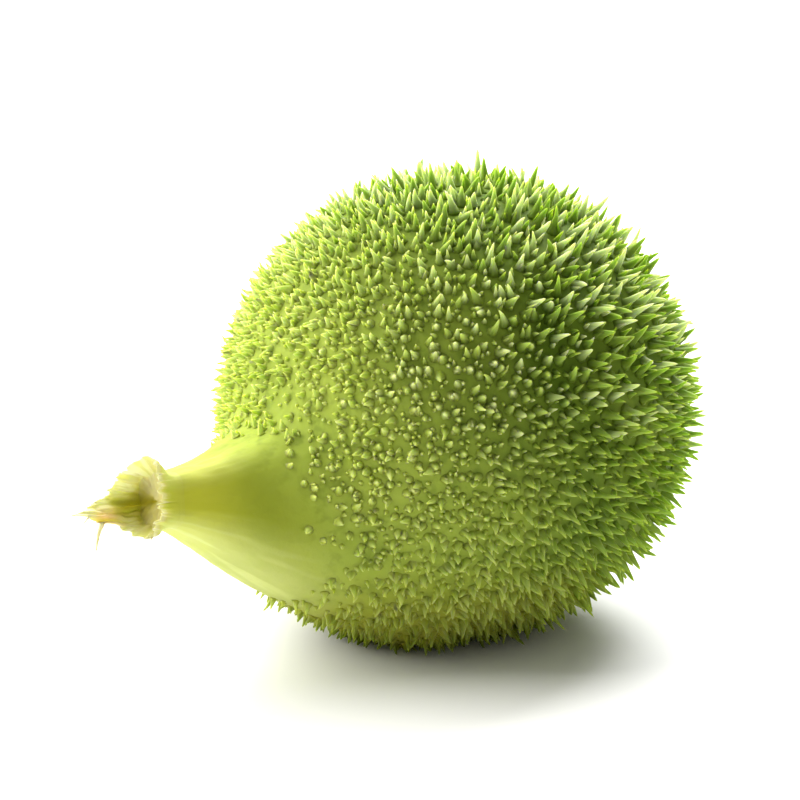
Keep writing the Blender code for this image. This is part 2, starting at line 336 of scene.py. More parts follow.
# Floor and soft daylight. Each light stands so many metres to the right of the fruit's middle, towards
# the viewer and up.
FLOOR_RADIUS = 3.0
FLOOR_GREY = (0.87, 0.87, 0.88)
FLOOR_WHITE = (0.91, 0.91, 0.91)
WINDOW = {"offset": (-0.41, -0.13, 0.36), "size": 0.70, "power": 8.6, "colour": (1.0, 0.99, 0.97)}
BACK_WINDOW = {"offset": (0.15, -0.34, 0.40), "size": 0.30, "power": 4.8, "colour": (1.0, 1.0, 1.0)}
SURROUND_COLOUR = (1.0, 0.99, 0.91)
SURROUND_STRENGTH = 0.37

# Camera, at the photograph's viewing angle.
VIEW_AZIMUTH = math.radians(-41.0)
VIEW_ELEVATION = math.radians(16.0)
LENS = 260.0
SENSOR = 36.0
FRAME_WIDTH = 68.0 * MM
FRAME_SHIFT_LEFT = 4.5 * MM
FRAME_SHIFT_UP = 0.5 * MM

SEED = 7


def smoothstep(value):
    value = min(max(value, 0.0), 1.0)
    return value * value * (3.0 - 2.0 * value)


def mix(first, second, share):
    return first + (second - first) * share


def facing(turn, middle=0.0):
    """1 on the side that the middle turn names, falling to 0 on the opposite one."""
    return 0.5 + 0.5 * math.cos(turn - middle)


def axis_angle(reach):
    """Angle of the fruit's axis below the level."""
    bend = smoothstep((reach - BEND_START) / (NECK_REACH - BEND_START))
    return NECK_DIP - (NECK_DIP + NECK_RISE) * bend


def axis_table(steps=600):
    """Reaches along the axis, with the X and Z of each, measured from the body's centre."""
    reaches = np.linspace(-BODY_HALF_LENGTH - SCAR_HEIGHT, NECK_REACH + CUP_LENGTH, steps)
    angles = np.array([axis_angle(reach) for reach in reaches])
    step = reaches[1] - reaches[0]
    x = np.cumsum(-np.cos(angles)) * step
    z = np.cumsum(-np.sin(angles)) * step
    x -= np.interp(0.0, reaches, x)
    z -= np.interp(0.0, reaches, z)
    return reaches, x, z


AXIS_REACHES, AXIS_X, AXIS_Z = axis_table()


def axis_point(reach):
    x = float(np.interp(reach, AXIS_REACHES, AXIS_X))
    z = float(np.interp(reach, AXIS_REACHES, AXIS_Z))
    return Vector((x, 0.0, BODY_HEIGHT + z)) + body_offset


def across_axis(reach, turn):
    """Direction straight away from the axis."""
    angle = axis_angle(reach)
    up = Vector((-math.sin(angle), 0.0, math.cos(angle)))
    return up * math.cos(turn) + Vector((0.0, 1.0, 0.0)) * math.sin(turn)


def beside_axis(reach, radius, turn):
    return axis_point(reach) + across_axis(reach, turn) * radius


def rib_strength(reach):
    return smoothstep((reach - RIB_FADE_START) / (RIB_FULL_FROM - RIB_FADE_START))


def rib_wave(turn):
    """Ribs round the neck, from -1 in a furrow to 1 on a crest."""
    return math.cos(RIB_COUNT * (turn - RIB_TURN))


def band(reach, turn):
    """0 in the middle of the neck's two dark flanks, partly painted shade, up to 1 on its pale underside, a
    little less on top, both partly painted light.
    """
    flank = 0.5 - 0.5 * math.cos(2.0 * (turn - BAND_TURN))
    narrowing = smoothstep((reach - BAND_NARROWS_FROM) / BAND_NARROWS_OVER)
    return (1.0 - flank ** mix(*BAND_POWERS, narrowing)) * (1.0 - BAND_DULLING_ABOVE * facing(turn))


def neck_colouring(reach, turn):
    """0 where the skin has the body's green, 1 where it has the neck's own colours."""
    start = mix(NECK_COLOUR_BELOW, NECK_COLOUR_ABOVE, facing(turn))
    return smoothstep((reach - start) / NECK_COLOUR_OVER)


def far_side(turn):
    """1 in the middle of the neck's far flank, which stays greener as painted shade, fading to 0 on its top
    and underside.
    """
    return smoothstep((math.cos(turn - FAR_TURN) - FAR_SIDE_FROM) / FAR_SIDE_OVER)


def ripeness(reach, turn):
    """How far the neck's flank has turned from green to olive yellow."""
    turned = smoothstep((reach - RIPE_FROM) / (RIPE_FULL - RIPE_FROM))
    return turned * (1.0 - FAR_SIDE_PAINTED_SHADE * far_side(turn))


def fine_lines(reach, turn, count):
    """Uneven lines along the axis, from about -1 to 1, which wander a little on their way."""
    around = Vector((math.cos(turn) * count, math.sin(turn) * count, reach / LINE_LENGTH))
    return noise.noise(around) + FINER_LINES_SHARE * noise.noise(around * FINER_LINES)


def ball_radius(reach):
    return BODY_RADIUS * math.sqrt(max(1.0 - (reach / BODY_HALF_LENGTH) ** 2, 0.0))


def smooth_radius(reach, turn):
    """Distance of the bare skin from the axis: ball and neck, run smoothly into one another."""
    ball = ball_radius(reach)
    if reach <= 0.0:
        return ball
    part = (NECK_REACH - reach) / (NECK_REACH - FLARE_START)
    part = min(max(part, 0.0), 1.0)
    flare = mix(FLARE_BELOW, FLARE_ABOVE, facing(turn))
    neck = NECK_END_RADIUS + flare * part**FLARE_POWER
    joined = BLEND * float(np.logaddexp(ball / BLEND, neck / BLEND))
    return joined + RIB_HEIGHT * rib_strength(reach) * rib_wave(turn)


def skin_radius(reach, turn):
    lines = fine_lines(reach, turn, LINES_ROUND)
    return smooth_radius(reach, turn) + LINE_HEIGHT * rib_strength(reach) * lines


def offset_from_frame():
    """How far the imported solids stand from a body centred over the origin."""
    turns = [2.0 * math.pi * column / SOLID_COLUMNS for column in range(SOLID_COLUMNS)]
    neck_end = [beside_axis(NECK_REACH, smooth_radius(NECK_REACH, turn), turn).x for turn in turns]
    points = [vertex.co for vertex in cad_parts["gourd"].data.vertices]
    resting = [point.y for point in points if point.z < RESTING_BELOW]
    return Vector((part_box("gourd")[0].x - min(neck_end), (min(resting) + max(resting)) / 2, 0.0))


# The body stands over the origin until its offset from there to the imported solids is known.
body_offset = Vector()
body_offset = offset_from_frame()


def uneven(point):
    """Height of the broad swells and small pits at a point of the skin."""
    swell = noise.noise(point / SWELL_SIZE)
    pit = noise.noise(point / PIT_SIZE + PIT_SHIFT)
    return SWELL_HEIGHT * swell + PIT_HEIGHT * pit


def skin_point(reach, turn):
    return beside_axis(reach, skin_radius(reach, turn), turn)


def skin_normal(reach, turn):
    """Outward direction of the skin, from two small steps along it."""
    small = 0.05 * MM
    here = min(max(reach, -BODY_HALF_LENGTH + 4 * small), NECK_REACH - small)
    along = skin_point(here + small, turn) - skin_point(here - small, turn)
    turn_step = small / max(skin_radius(here, turn), small)
    around = skin_point(here, turn + turn_step) - skin_point(here, turn - turn_step)
    normal = along.cross(around).normalized()
    return normal if normal.dot(across_axis(here, turn)) > 0 else -normal


def towards_neck(reach):
    """0 at the blossom end, rising to 1 at the stalk."""
    return smoothstep((reach + BODY_HALF_LENGTH) / (NECK_REACH + BODY_HALF_LENGTH))


# Mask of the painted bounce light from the floor; the spines' low tips also darken with it.
def underside(reach, point):
    """1 where the fruit rests, fading to 0 a third of the way up, and less towards the blossom end."""
    low = 1.0 - smoothstep(point.z / UNDERSIDE_HEIGHT)
    grown = smoothstep((reach - UNDERSIDE_GROWS_FROM) / UNDERSIDE_GROWS_OVER)
    return low * mix(UNDERSIDE_AT_BLOSSOM, 1.0, grown)


def wrap_grid(columns, rows, place, layers):
    """Rolls a grid round the fruit's axis and merges its seam and poles.

    place gives a point for an angle and a row, and a value for each named layer.
    """
    bm = bmesh.new()
    bmesh.ops.create_grid(bm, x_segments=columns, y_segments=rows, size=0.5)
    stores = [bm.verts.layers.float.new(layer) for layer in layers]
    for vertex in bm.verts:
        turn = 2.0 * math.pi * (vertex.co.x + 0.5)
        row = round((vertex.co.y + 0.5) * rows)
        point, values = place(turn, row)
        vertex.co = point
        for store, value in zip(stores, values):
            vertex[store] = value
    bmesh.ops.remove_doubles(bm, verts=bm.verts, dist=SEAM_MERGE)
    bmesh.ops.recalc_face_normals(bm, faces=bm.faces)
    return bm


def add_object(name, bm, finish):
    """Turns a finished bmesh into an object of the scene."""
    mesh = bpy.data.meshes.new(name)
    bm.to_mesh(mesh)
    bm.free()
    mesh.materials.append(finish)
    made = bpy.data.objects.new(name, mesh)
    bpy.context.scene.collection.objects.link(made)
    return made


def add_piece(name, bm, finish, node_name):
    """Turns a finished bmesh into a piece that rides with the fruit and stands for a solid."""
    piece = add_object(name, bm, finish)
    piece.data.shade_smooth()
    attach(piece, "root")
    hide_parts(node_name)


def skin_stations():
    """Reach and radius of each row of the skin, with no radius where the skin's own rule gives it."""
    stations = []
    for row in range(SCAR_ROWS):
        share = row / SCAR_ROWS
        mound = smoothstep(1.0 - share) - SCAR_DIMPLE_DEPTH * math.exp(-((share / SCAR_DIMPLE) ** 2))
        edge = BODY_HALF_LENGTH * math.sqrt(1.0 - (share * SCAR_RADIUS / BODY_RADIUS) ** 2)
        stations.append((-edge - mound * SCAR_HEIGHT, share * SCAR_RADIUS))
    first_angle = math.asin(SCAR_RADIUS / BODY_RADIUS)
    last_angle = math.acos(-BEND_START / BODY_HALF_LENGTH)
    for row in range(BALL_ROWS):
        angle = mix(first_angle, last_angle, row / BALL_ROWS)
        stations.append((-BODY_HALF_LENGTH * math.cos(angle), None))
    for row in range(NECK_ROWS + 1):
        stations.append((mix(BEND_START, NECK_REACH, row / NECK_ROWS), None))
    for share in NECK_CAP_SHARES:
        stations.append((NECK_REACH + NECK_CAP, share * NECK_END_RADIUS))
    return stations


def make_skin(finish):
    """The whole skin in one piece, from the blossom scar to the end of the neck."""
    stations = skin_stations()

    def place(turn, row):
        reach, radius = stations[row]
        if radius is None:
            radius = skin_radius(reach, turn) - NECK_TUCK * smoothstep(1.0 - (NECK_REACH - reach) / CUP_ROOT)
        point = beside_axis(reach, radius, turn)
        if radius > SCAR_RADIUS:
            point += across_axis(reach, turn) * uneven(point)
        point.z = max(point.z, 0.0)
        necked = neck_colouring(reach, turn)
        ripe = ripeness(reach, turn)
        lines = fine_lines(reach, turn, LINES_ROUND)
        scar = 1.0 - smoothstep((radius - SCAR_BROWN_TO) / SCAR_BROWN_FADE) if reach < 0.0 else 0.0
        along = towards_neck(reach)
        return point, (band(reach, turn), lines, necked, ripe, scar, along, underside(reach, point))

    layers = ("band", "lines", "neck", "ripe", "scar", "along", "under")
    bm = wrap_grid(COLUMNS, len(stations) - 1, place, layers)
    add_piece("gourd_body", bm, finish, "gourd")


def near_neck(reach):
    """0 over the blossom half of the body, rising to 1 where the spines end."""
    return smoothstep((reach - SPINE_SHORTEN_FROM) / (SPINES_END_BELOW - SPINE_SHORTEN_FROM))


def spine_weight(reach, turn):
    """How thickly the spines stand: full on the body, thinning out along the neck."""
    end = mix(SPINES_END_BELOW, SPINES_END_ABOVE, facing(turn))
    end += SPINES_END_FLANKS * math.sin(turn) ** 2
    return smoothstep((end - reach) / SPINES_THIN_OVER)


def spine_feet(count, draw, steps=900):
    """Places of a set of spines, spread evenly by area, a golden-angle turn from each to the next."""
    first_reach = -BODY_HALF_LENGTH * math.sqrt(1.0 - (SCAR_CLEAR / BODY_RADIUS) ** 2)
    reaches = np.linspace(first_reach, SPINES_END_ABOVE + SPINES_END_FLANKS, steps)
    side_radii = np.array([smooth_radius(reach, 0.5 * math.pi) for reach in reaches])
    slant = np.hypot(np.gradient(reaches), np.gradient(side_radii))
    crowding = np.array([1.0 + SPINE_CROWDING * near_neck(reach) for reach in reaches])
    share = np.cumsum(side_radii * slant * crowding)
    share /= share[-1]
    golden = math.pi * (3.0 - math.sqrt(5.0))
    spacing = math.sqrt(4.0 * math.pi * BODY_RADIUS**2 / count)
    for index in range(count):
        reach = float(np.interp((index + 0.5) / count, share, reaches))
        reach += draw.uniform(-LATTICE_JITTER, LATTICE_JITTER) * spacing
        reach = max(reach, first_reach)
        shift = draw.uniform(-LATTICE_JITTER, LATTICE_JITTER) * spacing
        turn = index * golden + shift / smooth_radius(reach, 0.5 * math.pi)
        if draw.random() < spine_weight(reach, turn):
            yield reach, turn


def new_items(made, kind):
    return [item for item in made["geom"] if isinstance(item, kind)]


def sort_by_vertices(bm):
    """Puts edges and faces in the order of their vertices, since extruding leaves them in no fixed one."""
    bm.verts.index_update()
    for items in (bm.edges, bm.faces):
        in_order = sorted(items, key=lambda item: sorted(vertex.index for vertex in item.verts))
        for index, item in enumerate(in_order):
            item.index = index
        items.sort()


def tapering(bm, sides, rings):
    """Draws a ring out through a list of centres, turns and radii, and closes it at both ends."""
    made = bmesh.ops.create_circle(bm, segments=sides, radius=1.0)
    ring = made["verts"]
    edges = list(dict.fromkeys(edge for vertex in ring for edge in vertex.link_edges))
    around = [vertex.co.normalized() for vertex in ring]
    drawn = list(ring)
    for step, (centre, turned, radius) in enumerate(rings):
        if step:
            grown = bmesh.ops.extrude_edge_only(bm, edges=edges)
            edges = new_items(grown, bmesh.types.BMEdge)
            ring = new_items(grown, bmesh.types.BMVert)
            drawn += ring
        for vertex, direction in zip(ring, around):
            vertex.co = centre + turned @ direction * max(radius, POINT_RADIUS)
    bmesh.ops.remove_doubles(bm, verts=drawn, dist=POINT_MERGE)
    bmesh.ops.holes_fill(bm, edges=bm.edges, sides=sides)
    sort_by_vertices(bm)
    bmesh.ops.recalc_face_normals(bm, faces=bm.faces)


def spine_template(sides, profile):
    """One straight spine of unit height and foot radius, a millimetre standing for the unit."""
    bm = bmesh.new()
    straight = Matrix.Identity(3)
    rings = [(Vector((0.0, 0.0, height * MM)), straight, radius * MM) for height, radius in profile]
    tapering(bm, sides, [*rings, (Vector((0.0, 0.0, MM)), straight, 0.0)])
    mesh = bpy.data.meshes.new("spine_template")
    bm.to_mesh(mesh)
    bm.free()
    return mesh


def spine_length(reach, draw):
    """A spine's length: full on the blossom side, shorter towards the neck, each a little different."""
    usual = mix(SPINE_LENGTH, SPINE_LENGTH_AT_NECK, near_neck(reach))
    own = 1.0 + draw.uniform(-SPINE_LENGTH_SPREAD, SPINE_LENGTH_SPREAD)
    return usual * (own * TALL_LENGTH if draw.random() < TALL_SHARE else own)


def leaning(direction, draw):
    """The direction, tipped a little to a random side."""
    side = direction.orthogonal().normalized()
    side.rotate(Matrix.Rotation(draw.uniform(0.0, 2.0 * math.pi), 3, direction))
    return (direction + side * math.tan(SPINE_LEAN) * math.sqrt(draw.random())).normalized()


def tip_paleness_and_toplight(foot, draw):
    """How pale a spine's tip is: paler higher up the fruit as a painted highlight, and like its neighbours'
    in small clumps.
    """
    raised = smoothstep((foot.z / (2.0 * BODY_HEIGHT) - PALER_FROM) / PALER_OVER)
    clump = smoothstep(0.5 + CLUMP_CONTRAST * noise.noise(foot / TIP_CLUMP))
    return draw.random() ** mix(*CLUMP_POWERS, clump) * mix(*PALENESS, raised)


def clear_of_floor(foot, direction, length):
    """The direction, pressed sideways where the spine's tip would meet the floor."""
    if (foot + direction * length).z >= FLOOR_CLEAR:
        return direction
    outward = Vector((direction.x, direction.y, 0.0)).normalized()
    drop = foot.z - FLOOR_CLEAR
    return (outward * math.sqrt(max(length**2 - drop**2, 0.0)) - Vector((0.0, 0.0, drop))).normalized()


def make_spines(name, kind, seed, finish):
    """A set of spines, each with its own lean, length and hook, in one piece."""
    draw = random.Random(seed)
    template = spine_template(kind["sides"], kind["profile"])
    shape = [vertex.co / MM for vertex in template.vertices]
    bm = bmesh.new()
    stores = [bm.verts.layers.float.new(layer) for layer in ("tip", "shade", "along", "under")]
    for reach, turn in spine_feet(kind["count"], draw):
        normal = skin_normal(reach, turn)
        foot = skin_point(reach, turn)
        foot += normal * uneven(foot)
        direction = leaning(normal, draw)
        length = spine_length(reach, draw) * kind["length_share"]
        slimmed = 1.0 - SPINE_SLIMMING * near_neck(reach)
        own_width = draw.uniform(1.0 - SPINE_WIDTH_SPREAD, 1.0 + SPINE_WIDTH_SPREAD)
        width = kind["foot_radius"] * slimmed * own_width
        hook_turn = draw.uniform(0.0, 2.0 * math.pi)
        hook = SPINE_HOOK * draw.random() ** SPINE_HOOK_POWER
        # The shade layer holds this paleness, whose rise up the fruit is painted highlight.
        values = (tip_paleness_and_toplight(foot, draw), towards_neck(reach), underside(reach, foot))
        if foot.z < FOOT_CLEAR:
            continue
        direction = clear_of_floor(foot, direction, length)
        turned = direction.to_track_quat("Z", "Y").to_matrix()
        bend = turned @ Vector((math.cos(hook_turn), math.sin(hook_turn), 0.0)) * hook * length
        first = len(bm.verts)
        bm.from_mesh(template)
        bm.verts.ensure_lookup_table()
        for offset, own in enumerate(shape):
            vertex = bm.verts[first + offset]
            height = max(own.z, 0.0)
            straight = turned @ Vector((own.x * width, own.y * width, own.z * length))
            vertex.co = foot + straight + bend * height**2
            vertex.co.z = max(vertex.co.z, LOWEST_SPINE)
            for store, value in zip(stores, (height, *values)):
                vertex[store] = value
    bpy.data.meshes.remove(template)
    add_piece(name, bm, finish, "gourd")


def rim_at(turn):
    """Reach and radius of the torn rim, by easing between its given points."""
    degrees = math.degrees(turn) % 360.0
    first, last = next(pair for pair in zip(CUP_RIM, CUP_RIM[1:]) if degrees <= pair[1][0])
    part = smoothstep((degrees - first[0]) / (last[0] - first[0]))
    return mix(first[1], last[1], part), mix(first[2], last[2], part)


def spikes(place, sharpness):
    """Narrow spikes, from 0 to 1, where a noise crosses its middle."""
    return max(1.0 - abs(noise.noise(place)) * sharpness, 0.0)


def tear(turn):
    """How far the torn edge stands above or below its smooth line: bites, sharp splinters and notches."""
    around = Vector((math.cos(turn), math.sin(turn), 0.0))
    kinds = (BITES, SPLINTERS, NOTCHES, SHREDS)
    bite_at, splinter_at, notch_at, shred_at = [around * fineness + start for fineness, start, _ in kinds]
    raised = BITES[2] * noise.noise(bite_at) + SPLINTERS[2] * spikes(splinter_at, SPLINTER_SHARPNESS)
    cut = NOTCHES[2] * spikes(notch_at, NOTCH_SHARPNESS)
    return TEAR_DEPTH * (raised - cut + SHREDS[2] * noise.noise(shred_at))


def dryness(reach, rim_reach, turn, outside):
    """0 where the cup's wall is green outside or olive deep inside, 1 where it has dried to cream. The olive
    inside is partly painted shade, the paler upper inner wall is painted light, and the far flank stays
    green as painted shade.
    """
    near = facing(turn, NEAR_TURN)
    edge = smoothstep(1.0 - (rim_reach - reach) / mix(*DRY_EDGE, near))
    edge *= 1.0 - DRY_EDGE_NEAR_LOSS * near
    if outside:
        start = mix(*DRY_FROM, max(near**2, far_side(turn)))
        return max(edge, smoothstep((reach - start) / DRY_OVER))
    valley = mix(HOLLOW_TURN, HOLLOW_TURN_AT_TIP, reach / HOLLOW_LENGTH)
    apart = math.remainder(turn - valley, 2.0 * math.pi)
    olive = math.exp(-((apart / HOLLOW_WIDTH) ** 2))
    olive *= 1.0 - smoothstep((reach - HOLLOW_OLIVE_TO) / HOLLOW_OLIVE_FADE)
    # Paler on the upper inner wall: painted light.
    paling = mix(*INNER_PALENESS, facing(turn, INNER_TOP_LIT_TURN))
    paling += mix(*RIM_PALENESS, near) * smoothstep((reach - RIM_PALER_FROM) / RIM_PALER_OVER)
    return (1.0 - olive) * max(edge, paling)


def shade_below(turn):
    """How much painted shade the dried wall takes: least on its upper and near sides, most low on its far
    side.
    """
    away = smoothstep((1.0 - math.cos(turn - TOP_LIT_TURN)) / SHADE_SPREAD)
    return away * (1.0 - facing(turn, NEAR_TURN) ** 2)


def cup_wall(reach, rim_reach, rim_radius, turn):
    """Radius of the cup's outer face and the size of its crumples there."""
    flare = smoothstep(reach / rim_reach)
    near = facing(turn, NEAR_TURN)
    loose = smoothstep((reach - CRUMPLE_FROM) / CRUMPLE_OVER) * (1.0 - CALM_NEAR * near)
    root_reach = NECK_REACH + min(reach, 0.0)
    root = skin_radius(root_reach, turn) - NECK_TUCK * smoothstep(-reach / CUP_ROOT)
    root += uneven(beside_axis(root_reach, root, turn))
    radius = mix(root, rim_radius - NEAR_PINCH * near**2, flare)
    place = beside_axis(NECK_REACH + reach, radius, turn)
    lump = noise.noise(place / LUMP_SIZE) + SMALL_LUMP_SHARE * noise.noise(place / SMALL_LUMP_SIZE)
    around = Vector((PLEATS_ROUND * math.cos(turn), PLEATS_ROUND * math.sin(turn), reach / PLEAT_LENGTH))
    pleat = 1.0 - PLEAT_SHARPNESS * abs(noise.noise(around))
    return radius + loose * (CRUMPLE * lump + PLEAT_HEIGHT * pleat), loose


def make_stalk(finish):
    """Torn stalk cup: a ragged crumpled wall that grows out of the neck, and the pithy hollow inside it."""
    rows = 2 * CUP_WALL_ROWS + CUP_FLOOR_ROWS

    def place(turn, row):
        rim_reach, rim_radius = rim_at(turn)
        rim_reach += tear(turn)
        outside = row <= CUP_WALL_ROWS
        part = row / CUP_WALL_ROWS if outside else (2 * CUP_WALL_ROWS - row) / CUP_WALL_ROWS
        part = max(part, 0.0)
        reach = mix(-CUP_ROOT if outside else CUP_FLOOR, rim_reach, part)
        radius, loose = cup_wall(reach, rim_reach, rim_radius, turn)
        closing = min((rows - row) / CUP_FLOOR_ROWS, 1.0)
        fibre = fine_lines(reach * FIBRE_SHORTENING, turn, FIBRES_ROUND)
        fibre *= mix(FIBRE_AT_ROOT, 1.0, loose) * closing**3
        radius += FIBRE_HEIGHT * fibre * loose
        if not outside:
            radius -= mix(CUP_WALL, CUP_EDGE_WALL, part**CUP_THINNING_POWER)
        point = beside_axis(NECK_REACH + reach, radius * closing, turn)
        if closing < 1.0:
            pith = noise.noise(point / PITH_GRAIN) + PITH_LUMP_SHARE * noise.noise(point / PITH_LUMP)
            sag = PITH_SAG * (1.0 - closing**2)
            point += (axis_point(NECK_REACH) - axis_point(NECK_REACH + MM)) * (sag + PITH_HEIGHT * pith) / MM
        hollow = 0.0 if outside else 1.0
        dry = dryness(reach, rim_reach, turn, outside)
        from_blush = math.hypot((turn - BLUSH_TURN) / BLUSH_WIDTH, (reach - BLUSH_REACH) / BLUSH_LENGTH)
        blush = math.exp(-(from_blush**2))
        lines = fine_lines(NECK_REACH, turn, LINES_ROUND)
        # Painted shade low on the wall's far side, at half strength inside.
        shaded_below = shade_below(turn) * (1.0 if outside else SHADE_INSIDE)
        ripe = ripeness(NECK_REACH, turn)
        return point, (hollow, dry, shaded_below, fibre, lines, blush, band(NECK_REACH, turn), ripe)

    layers = ("hollow", "dry", "shaded_below", "fibre", "lines", "blush", "band", "ripe")
    bm = wrap_grid(CUP_COLUMNS, rows, place, layers)
    bmesh.ops.holes_fill(bm, edges=bm.edges, sides=CUP_COLUMNS)
    add_piece("stalk_cup", bm, finish, "stem_end")


def make_strands(finish):
    """Loose fibres that hang off the torn rim."""
    down = Vector((0.0, 0.0, -1.0))
    bm = bmesh.new()
    for degrees, length, along, outward, downward in STRANDS:
        turn = math.radians(degrees)
        rim_reach, rim_radius = rim_at(turn)
        rim_reach += tear(turn)
        reach = rim_reach - STRAND_SUNK
        radius, _ = cup_wall(reach, rim_reach, rim_radius, turn)
        start = beside_axis(NECK_REACH + reach, radius - STRAND_INSET, turn)
        ahead = (axis_point(NECK_REACH + reach) - axis_point(NECK_REACH)).normalized()
        lean = ahead * along + across_axis(NECK_REACH, turn) * outward
        aside = ahead.cross(down)
        centres = []
        for ring in range(STRAND_RINGS):
            part = ring / (STRAND_RINGS - 1)
            sway = aside * math.sin(STRAND_SWAYS[0] * part + degrees)
            sway += lean * math.sin(STRAND_SWAYS[1] * part)
            droop = down * downward * part**STRAND_DROOP_POWER
            centres.append(start + (lean * part + droop + sway * STRAND_SWAY * part) * length)
        rings = []
        for ring, centre in enumerate(centres):
            ahead_of = centres[min(ring + 1, STRAND_RINGS - 1)] - centres[max(ring - 1, 0)]
            turned = ahead_of.to_track_quat("Z", "Y").to_matrix()
            part = ring / (STRAND_RINGS - 1)
            slimmed = 1.0 - STRAND_TAPER * part**STRAND_TAPER_POWER
            rings.append((centre, turned, STRAND_SLIMNESS * length * slimmed))
        tapering(bm, STRAND_SIDES, rings)
    add_piece("stalk_fibres", bm, finish, "stem_end")


def give(tree, target, source):
    """Feeds an input from a socket, a plain colour or a number."""
    if isinstance(source, bpy.types.NodeSocket):
        tree.links.new(source, target)
    elif isinstance(source, tuple):
        target.default_value = (*source, 1.0)
    else:
        target.default_value = source


def start_group(name, values, result, result_kind):
    """A new shader group: it takes a place and the named colours and numbers, and gives one result."""
    group = bpy.data.node_groups.new(name, "ShaderNodeTree")
    group.interface.new_socket(name="Vector", in_out="INPUT", socket_type="NodeSocketVector")
    for label, value in values.items():
        kind = "NodeSocketColor" if isinstance(value, tuple) else "NodeSocketFloat"
        made = group.interface.new_socket(name=label, in_out="INPUT", socket_type=kind)
        made.default_value = (*value, 1.0) if isinstance(value, tuple) else value
    group.interface.new_socket(name=result, in_out="OUTPUT", socket_type=result_kind)
    ends = group.nodes.new("NodeGroupInput").outputs
    out = group.nodes.new("NodeGroupOutput").inputs[result]
    return group, ends, out


def cloudy(tree, place, scale, detail, roughness):
    """Soft noise over the surface."""
    made = tree.nodes.new("ShaderNodeTexNoise")
    made.inputs["Detail"].default_value = detail
    made.inputs["Roughness"].default_value = roughness
    give(tree, made.inputs["Vector"], place)
    give(tree, made.inputs["Scale"], scale)
    return made.outputs["Fac"]


def ramp(tree, factor, stops):
    """Colours or greys along a value from 0 to 1."""
    made = tree.nodes.new("ShaderNodeValToRGB")
    elements = made.color_ramp.elements
    while len(elements) < len(stops):
        elements.new(0.5)
    for element, (place, colour) in zip(elements, stops):
        element.position = place
        element.color = (*colour, 1.0)
    tree.links.new(factor, made.inputs["Fac"])
    return made.outputs["Color"]


def fade(tree, factor, start, end):
    """A mask that rises from 0 to 1, or falls where end is lower, between two values."""
    low, high = sorted((start, end))
    first, last = (0.0, 1.0) if start < end else (1.0, 0.0)
    return ramp(tree, factor, ((low, (first,) * 3), (high, (last,) * 3)))


def mix_colour(tree, factor, first, second, blend="MIX"):
    """Mixes two colours, each a socket or a plain colour, by a socket or a number."""
    made = tree.nodes.new("ShaderNodeMix")
    made.data_type = "RGBA"
    made.blend_type = blend
    for source, name in ((factor, "Factor_Float"), (first, "A_Color"), (second, "B_Color")):
        give(tree, next(item for item in made.inputs if item.identifier == name), source)
    return next(item for item in made.outputs if item.identifier == "Result_Color")


def fruit_colour_group():
    """Green of the fruit: deep at the blossom end, partly painted shade, yellower to the neck, in soft
    patches with flecks, and olive underneath as painted bounce light from the floor.
    """
    values = {
        "Along": 0.5,
        "Under": 0.0,
        "Green": FRUIT_GREEN_AND_SHADE,
        "Yellow": FRUIT_YELLOW,
        "Shaded": PAINTED_BOUNCE_OLIVE,
        "Dark": FLECK_GREEN,
    }
    group, ends, out = start_group("fruit_colour", values, "Color", "NodeSocketColor")
    broad = cloudy(group, ends["Vector"], scale=110.0, detail=3.0, roughness=0.55)
    fine = cloudy(group, ends["Vector"], scale=800.0, detail=2.0, roughness=0.6)
    patches = fade(group, broad, start=0.34, end=0.68)
    ripe = fade(group, ends["Along"], start=0.38, end=0.95)
    yellowing = mix_colour(group, PATCHINESS, ripe, patches)
    sides = mix_colour(group, yellowing, ends["Green"], ends["Yellow"])
    # Painted bounce light from the floor over the underside.
    base = mix_colour(group, ends["Under"], sides, ends["Shaded"])
    flecks = fade(group, fine, start=0.48, end=0.32)
    half = mix_colour(group, FLECK_STRENGTH, base, ends["Dark"])
    group.links.new(mix_colour(group, flecks, base, half), out)
    return group


def neck_colour_group():
    """Yellow-green of the smooth neck: pale on its top and underside, partly painted light, olive on its
    flanks, partly painted shade, finely lined.
    """
    values = {"Band": 0.5, "Lines": 0.0, "Pale": NECK_PALE_AND_LIT, "Olive": NECK_OLIVE_AND_SHADE}
    group, ends, out = start_group("neck_colour", values, "Color", "NodeSocketColor")
    cloud = cloudy(group, ends["Vector"], scale=260.0, detail=3.0, roughness=0.6)
    banded = fade(group, ends["Band"], start=0.10, end=0.85)
    base = mix_colour(group, banded, ends["Olive"], ends["Pale"])
    clouds = fade(group, cloud, start=0.35, end=0.65)
    mottled = mix_colour(group, clouds, mix_colour(group, NECK_CLOUDING, base, ends["Olive"]), base)
    lines = fade(group, ends["Lines"], start=0.25, end=0.0)
    darker = mix_colour(group, NECK_LINING, mottled, ends["Olive"])
    group.links.new(mix_colour(group, lines, mottled, darker), out)
    return group


def grain_group():
    """Fine height grain for a bump."""
    group, ends, out = start_group("fine_grain", {"Scale": 2500.0}, "Height", "NodeSocketFloat")
    grain = cloudy(group, ends["Vector"], scale=ends["Scale"], detail=3.0, roughness=0.65)
    group.links.new(grain, out)
    return group


def start_material(name, roughness, specular=0.25):
    """A new material, its node tree, its shader and its object coordinates."""
    made = bpy.data.materials.new(name)
    made.use_nodes = True
    tree = made.node_tree
    shader = tree.nodes["Principled BSDF"]
    shader.inputs["Roughness"].default_value = roughness
    shader.inputs["Specular IOR Level"].default_value = specular
    place = tree.nodes.new("ShaderNodeTexCoord").outputs["Object"]
    return made, tree, shader, place


def attribute(tree, name):
    made = tree.nodes.new("ShaderNodeAttribute")
    made.attribute_name = name
    return made.outputs["Fac"]


